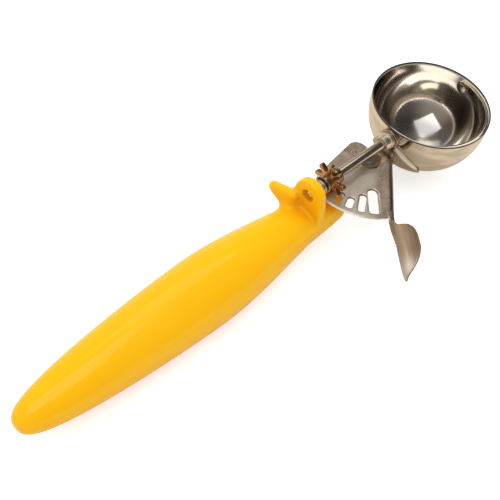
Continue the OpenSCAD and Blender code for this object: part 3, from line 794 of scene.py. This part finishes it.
leaf = [(-6, -1.2), (4, -1.4)]
leaf += bezier((11.8, -0.6), (23.6, -1.0), (29.6, -0.9), (29.5, 0.2), 14)
leaf += bezier((28.9, 0.8), (25.1, 1.8), (23, 7), (14.75, 8), 14)
leaf += bezier((11.8, 8), (4, 8), (1, 7), (1.2, 2), 14)
leaf += [(0, 1.2), (-6, 1.4)]
tab = scored(scored(blank([leaf], SHEET, 0.35), (0, 1, 0), -1, 8, 0.5), (1, 0, 0), -6, 29, 1.0)
for point in tab.verts:
    x, y, lift = point.co
    lean = math.asin(min(0.97, max(-0.97, y / TAB_DISH)))
    bend = TAB_DISH - lift
    point.co = (x, bend * math.sin(lean), TAB_DISH - bend * math.cos(lean))
tab_root = polar(EDGE + 15.7, 34.4)
tab.transform(Matrix.Translation((*tab_root, 0)) @ Matrix.Rotation(math.radians(TAB_HEADING), 4, "Z"))
lever_shape = joined(sheet, edge_fold, tab)
lever_shape.transform(Matrix.Translation((-PIVOT_BACK, 0, PLATE_Z)))
lever = fused("thumb_lever", lever_shape, 0.24, 4)

stamped, tree, shader = finish("Tumbled stamped steel")
at = surface(tree)
hairs = used(tree, scratches, Vector=at, Scale=1.1, Wear=0.9)["Mask"]
rubbed = used(tree, edge_wear, Vector=at, Width=0.0006, Patchiness=0.4)["Mask"]
smear = used(tree, handling, Vector=at, Scale=140.0, Seed=3.0)["Mask"]
peened = noise(tree, at, 1400.0, 3.0, Roughness=0.6)
cloud = noise(tree, at, 220.0, 4.0)
tone = blend_colour(tree, ramp(tree, cloud, 0.35, 0.65), (0.68, 0.585, 0.49), (0.88, 0.76, 0.645))
tone = blend_colour(tree, most(tree, rubbed, times(tree, hairs, 0.6)), tone, (0.90, 0.83, 0.74))

# Regions of the pressing, measured from the pivot across and along the turned-down edge
from_pivot = node(tree, "VectorMath", {0: at, 1: (PIVOT_BACK * 0.001, 0, 0)}, operation="ADD").outputs[0]
radius = node(tree, "VectorMath", {0: from_pivot}, operation="LENGTH").outputs["Value"]
off_edge = towards(tree, from_pivot, (*outwards, 0))
up_edge = towards(tree, from_pivot, (*onwards, 0))
folded = times(tree, ramp(tree, off_edge, 0.0080, 0.0094), ramp(tree, up_edge, 0.0335, 0.0315))
# A patch beside the pinion, painted bright below as a highlight
painted_highlight_patch = times(tree, ramp(tree, off_edge, 0.005, -0.001), ramp(tree, up_edge, 0.005, 0.011))
thumbed = ramp(tree, up_edge, 0.0315, 0.0345)
steep = maths(tree, "ABSOLUTE", height_of(tree, node(tree, "NewGeometry").outputs["Normal"]))
slot_wall = times(tree, ramp(tree, steep, 0.8, 0.4), ramp(tree, radius, 0.0320, 0.0312, 0.0, 0.85))
# Painted highlight: the cut edge along the plate's arc is made bright and less metallic below
arc_edge_painted_highlight = times(tree, ramp(tree, steep, 0.9, 0.5), ramp(tree, radius, 0.0314, 0.0320),
                 ramp(tree, thumbed, 0.3, 0.0), ramp(tree, off_edge, 0.0090, 0.0080))

# Beside the pinion a patch is painted bright as a highlight, the tab is darker and browner and paler at its
# tip, both with fine drawn lines, and painted shade darkens the turned-down fold and the slots' walls, with
# the tab's rim and raised sides darker too
tone = blend_colour(tree, times(tree, painted_highlight_patch, ramp(tree, cloud, 0.3, 0.6, 0.7, 1.0)), tone, (1.0, 0.95, 0.87))
tone = blend_colour(tree, times(tree, thumbed, 0.85), tone, (0.65, 0.485, 0.345))
lengthwise = mapped(tree, at, Rotation=(0, 0, math.radians(-TAB_HEADING)))
combed = used(tree, brushing, Vector=lengthwise, Scale=1.0)["Shade"]
tone = blend_colour(tree, times(tree, thumbed, combed, 0.45), tone, (0.40, 0.29, 0.19))
tone = blend_colour(tree, ramp(tree, up_edge, 0.046, 0.058), tone, (0.97, 0.90, 0.81))
drawn = used(tree, brushing, Vector=at, Scale=0.8)["Shade"]
tone = blend_colour(tree, times(tree, painted_highlight_patch, drawn, 0.25), tone, (0.62, 0.52, 0.42))
tone = blend_colour(tree, arc_edge_painted_highlight, tone, (1.0, 0.97, 0.92))
raised = times(tree, thumbed, ramp(tree, height_of(tree, at), -0.0087, -0.0076, 0.0, 0.25))
tab_rim = used(tree, edge_wear, Vector=at, Width=0.0016, Patchiness=0.15)["Mask"]
# Painted shade in the fold and the slots' walls, and a darker rim and raised sides on the tab
painted_shade_and_dark_rim = most(tree, times(tree, folded, 0.85), times(tree, thumbed, tab_rim, 0.7), raised, slot_wall)
tone = blend_colour(tree, painted_shade_and_dark_rim, tone, (0.13, 0.095, 0.07))
dull = maths(tree, "MULTIPLY_ADD", smear, 0.12, 0.24)
dull = maths(tree, "ADD", dull, times(tree, most(tree, thumbed, painted_highlight_patch), 0.17))
dull = maths(tree, "SUBTRACT", dull, times(tree, rubbed, 0.08))
height = maths(tree, "SUBTRACT", peened, hairs)
vary(shader, Base_Color=tone, Metallic=ramp(tree, arc_edge_painted_highlight, 0.0, 1.0, 1.0, 0.35), Roughness=dull,
     Normal=embossed(tree, height, 0.22, 0.00006))
fitted(lever, "lever", ["lever_plate"], stamped)

# ---- Shaft ------------------------------------------------------------------------
# Turned and ground stainless rod. Its tail runs in the ear, and its front end steps down
# to a spigot that is headed over inside the blade.

SHAFT_R, SPIGOT_R, SPIGOT_HEAD_R = 2.0, 1.4, 2.3
SPIGOT, SPIGOT_END = -25.87, -24.91

shaft_line = [(-79.25, 0), (-79.18, 0.9), (-78.95, 1.5), (-78.6, 1.86), (-78.3, SHAFT_R)]
shaft_line += [(SPIGOT, SHAFT_R), (SPIGOT, SPIGOT_R), (SPIGOT_END, SPIGOT_R)]
shaft_line += button(SPIGOT_END, SPIGOT_HEAD_R, 0.8)
shaft = piece("drive_shaft", turned(shaft_line, 72), 50)
ground_rod = brushed_steel("Ground rod steel", (0.74, 0.68, 0.61), (0.62, 0.56, 0.49), 0.13, depth=0.12)
fitted(shaft, "ejector", ["drive_shaft"], ground_rod)

# ---- Pinion -----------------------------------------------------------------------
# Star wheel with eight round-ended teeth and a hub on each side, cross-pinned to the
# shaft. The teeth reach down into the lever's slots.

TEETH, FIRST_TOOTH, TOOTH_ROOT, TOOTH_OUT, TOOTH_HALF = 8, -99.17, 4.25, 6.93, 1.0
WHEEL, WHEEL_T, PIN_X, PIN_HALF, PIN_R = -66.2, 2.2, -63.25, 3.58, 0.75

wheel_line = []
for k in range(TEETH):
    tooth = [(TOOTH_ROOT, -TOOTH_HALF), (TOOTH_OUT, -TOOTH_HALF)]
    tooth += arc(TOOTH_HALF, -75, 76, 15, (TOOTH_OUT, 0))
    tooth += [(TOOTH_OUT, TOOTH_HALF), (TOOTH_ROOT, TOOTH_HALF)]
    wheel_line += set_at(tooth, FIRST_TOOTH + 360 / TEETH * k)
wheel = blank([wheel_line, arc(SHAFT_R, 0, 360, 10)], WHEEL_T, 0.22)
wheel.transform(Matrix.Translation((WHEEL, 0, 0)) @ upright)
rear_hub = turned(eased(ring_line(-70.5, -67.2, SHAFT_R, 3.4), 0.3, True), 72, True)
front_hub = turned(eased(ring_line(-65.2, -61.4, SHAFT_R, 3.5), 0.35, True), 72, True)
pinion = piece("pinion", joined(wheel, rear_hub, front_hub), 45)
# Painted reflection and shade: the pinion's steel is tinted orange, as the yellow handle mirrored in it, and
# dark red-brown
pinion_steel_painted_reflection = brushed_steel("Machined pinion steel", (0.71, 0.50, 0.30), (0.39, 0.21, 0.10),
                             0.15, 0.8, ROUND_X, 0.3)
fitted(pinion, "ejector", ["pinion"], pinion_steel_painted_reflection)
pin_line = [(-PIN_HALF, 0), (-PIN_HALF, PIN_R), (PIN_HALF, PIN_R), (PIN_HALF, 0)]
cross_pin = lathed("pinion_pin", pin_line, 0.2, False, 32, Matrix.Translation((PIN_X, 0, 0)) @ stand_up)
fitted(cross_pin, "ejector", ["pinion_pin"], pinion_steel_painted_reflection)

# ---- Return spring ------------------------------------------------------------------
# Three coils of 0.9 mm spring wire round the shaft, held between two washers. Of its two
# short legs one points down beside the ear and one up beside the pinion.

WIRE_R, COIL_R, COIL_PITCH, COILS, COIL_STEPS, LEG = 0.45, 3.05, 1.05, 3, 48, 3.2
SPRING_FRONT, SPRING_LENGTH, WASHER_OUT = -71.2, 4.05, 3.95

spring_seat = lathed("spring_seat", ring_line(-71.1, -70.6, 2.02, WASHER_OUT), 0.13, True)
fitted(spring_seat, "ejector", ["spring_seat"], turned_steel)
thrust = lathed("thrust_washer", ring_line(-75.85, -75.35, BORE_R, WASHER_OUT), 0.13, True)
fitted(thrust, "handle_frame", ["thrust_washer"], turned_steel)
wire = bpy.data.curves.new("return_spring", "CURVE")
wire.dimensions = "3D"
wire.bevel_depth = WIRE_R
wire.bevel_resolution = 5
wire.use_fill_caps = True
first = SPRING_FRONT - SPRING_LENGTH + WIRE_R
path = [(first, COIL_R, -LEG), (first, COIL_R, -LEG / 2)]
for k in range(COILS * COIL_STEPS + 1):
    turn = 2 * math.pi * k / COIL_STEPS
    path.append((first + COIL_PITCH * k / COIL_STEPS, COIL_R * math.cos(turn), COIL_R * math.sin(turn)))
path += [(first + COIL_PITCH * COILS, COIL_R, LEG / 2), (first + COIL_PITCH * COILS, COIL_R, LEG)]
spring = piece("return_spring", strung(wire, [path], False), 60)
# Painted highlight: the spring's wire is a brighter copy of the steel
spring_wire_painted_light = brushed_steel("Spring wire", (0.92, 0.82, 0.72), (0.74, 0.62, 0.52), 0.24, 0.5, depth=0.15)
fitted(spring, "handle_frame", ["return_spring"], spring_wire_painted_light)

# ---- Ejector blade ------------------------------------------------------------------
# A strip of 0.8 mm stainless sheet, curved to the inside of the bowl and polished. One
# end is headed onto the shaft's spigot, the other turns on the far pin.

BLADE_R, BLADE_T, END_R, BELLY, BELLY_REACH = 25.45, 0.8, 3.1, 1.1, 12.2

upper = [(-END_R, 0.0)]
for k in range(-8, 181 + 8):
    x = -BLADE_R * math.cos(math.radians(k))
    half = END_R + BELLY * min(1.0, max(0.0, (BOWL_IN - abs(x)) / BELLY_REACH))
    if k < 0 or k > 180:
        past = BLADE_R * math.radians(-k if k < 0 else k - 180)
        if past >= END_R:
            continue
        half = math.sqrt(END_R ** 2 - past ** 2)
    upper.append((BLADE_R * math.radians(k), half))
upper.append((BLADE_R * math.pi + END_R, 0.0))
strip = blank([upper + [(s, -half) for s, half in upper[-2:0:-1]]], BLADE_T, 0.22)
strip = scored(strip, (1, 0, 0), -END_R, BLADE_R * math.pi + END_R, 0.7)
strip = scored(strip, (0, 1, 0), -4, 4, 1.0)
for point in strip.verts:
    turn, rise, lift = point.co.x / BLADE_R, point.co.y / BLADE_R, point.co.z
    level = math.cos(rise)
    point.co = Vector((-math.cos(turn) * level, -math.sin(turn) * level, math.sin(rise))) * (BLADE_R + lift)
blade = piece("ejector_blade", strip, 60)

# Its upper edge glows warm white for reflected rays only, a painted glint like the bowl's lip, which the
# polished floor mirrors as well
blade_steel = brushed_steel("Polished blade steel", (0.74, 0.69, 0.63), (0.66, 0.61, 0.55),
                            0.10, 0.5, depth=0.08)
tree = blade_steel.node_tree
shader = tree.nodes["Principled BSDF"]
shader.inputs["Emission Color"].default_value = (1, 0.92, 0.84, 1)
painted_glint_edge = ramp(tree, height_of(tree, surface(tree)), -0.0020, -0.0015, 0.0, 1.3)
vary(shader, Emission_Strength=times(tree, node(tree, "LightPath").outputs["Is Glossy Ray"], painted_glint_edge))
fitted(blade, "ejector", ["ejector_blade"], blade_steel)

# ---- Studio -------------------------------------------------------------------------
# A pale table under a square softbox and a smaller warm one, in a dim warm room that
# grows paler towards the walls, seen from a camera over the handle.

table_shape = bmesh.new()
bmesh.ops.create_grid(table_shape, x_segments=2, y_segments=2, size=4.0,
                      matrix=Matrix.Translation((0, 0, cad_box[0].z)))
table_mesh = bpy.data.meshes.new("table")
table_shape.to_mesh(table_mesh)
table_shape.free()
table = bpy.data.objects.new("table", table_mesh)
scene.collection.objects.link(table)
paper, tree, shader = finish("Pale paper", Roughness=0.9, Specular_IOR_Level=0.1, Emission_Color=(1, 1, 1, 1))
rays = node(tree, "LightPath").outputs
white = blend_colour(tree, noise(tree, surface(tree), 300.0, 2.0), (0.90, 0.90, 0.90), (0.93, 0.93, 0.93))
# For reflected rays the table is painted darker and warmer, as the shade round the scoop
vary(shader, Base_Color=blend_colour(tree, rays["Is Glossy Ray"], white, (0.76, 0.67, 0.56)),
     Emission_Strength=times(tree, rays["Is Camera Ray"], 0.44))
table_mesh.materials.append(paper)


def softbox(name, place, edge, wide, tall, radiance, colour):
    """An even rectangular lamp one metre away that faces the bowl."""
    lamp = bpy.data.lights.new(name, "AREA")
    lamp.shape = "RECTANGLE"
    lamp.size, lamp.size_y = wide, tall
    lamp.energy = radiance * math.pi * wide * tall
    lamp.color = colour
    hung = bpy.data.objects.new(name, lamp)
    place, edge = Vector(place).normalized(), Vector(edge)
    edge = (edge - place * place.dot(edge)).normalized()
    facing = Matrix((edge, place.cross(edge), place)).transposed().to_4x4()
    hung.matrix_world = Matrix.Translation(place) @ facing
    scene.collection.objects.link(hung)


softbox("square softbox", (-0.34, 0.0, 0.94), (-0.87, 0.37, -0.31), 0.81, 0.72, 1.42, (1.0, 0.99, 0.97))
softbox("warm softbox", (0.25, 0.48, 0.84), (-0.53, 0.85, -0.30), 0.66, 0.42, 1.05, (1.0, 0.93, 0.80))

room = bpy.data.worlds.new("room")
scene.world = room
room.use_nodes = True
tree = room.node_tree
ahead = node(tree, "TexCoord").outputs["Generated"]
x, y, z = node(tree, "SeparateXYZ", {0: ahead}).outputs
lean = maths(tree, "SUBTRACT", x, y)
ceiling = blend_colour(tree, ramp(tree, lean, -0.5, 0.7), (0.23, 0.20, 0.17), (0.075, 0.065, 0.055))
sides = blend_colour(tree, ramp(tree, lean, 0.2, 0.8), (0.50, 0.44, 0.37), (0.14, 0.12, 0.10))
walls = blend_colour(tree, ramp(tree, z, 0.15, 0.55), sides, ceiling)
level = maths(tree, "ADD", towards(tree, ahead, (0.18, 0.24, 0.12)), 0.86)
even = node(tree, "CombineColor", dict.fromkeys(("Red", "Green", "Blue"), level)).outputs["Color"]
rays = node(tree, "LightPath").outputs
lit = blend_colour(tree, rays["Is Glossy Ray"], even, walls)
backdrop = tree.nodes["Background"].inputs
tree.links.new(blend_colour(tree, rays["Is Camera Ray"], lit, (1, 1, 1)), backdrop["Color"])
backdrop["Strength"].default_value = 1.0

eye_data = bpy.data.cameras.new("camera")
eye_data.sensor_width = 36
eye_data.lens = 65.09
eye_data.clip_start = 0.01
eye = bpy.data.objects.new("camera", eye_data)
right, up, back = (0.7116, -0.6909, 0.1277), (0.5059, 0.6299, 0.5893), (-0.4876, -0.3547, 0.7977)
aim = Matrix((right, up, back)).transposed().to_4x4()
eye.matrix_world = Matrix.Translation((-0.28676, -0.12788, 0.27193)) @ aim
scene.collection.objects.link(eye)
scene.camera = eye
scene.view_settings.view_transform = "Standard"
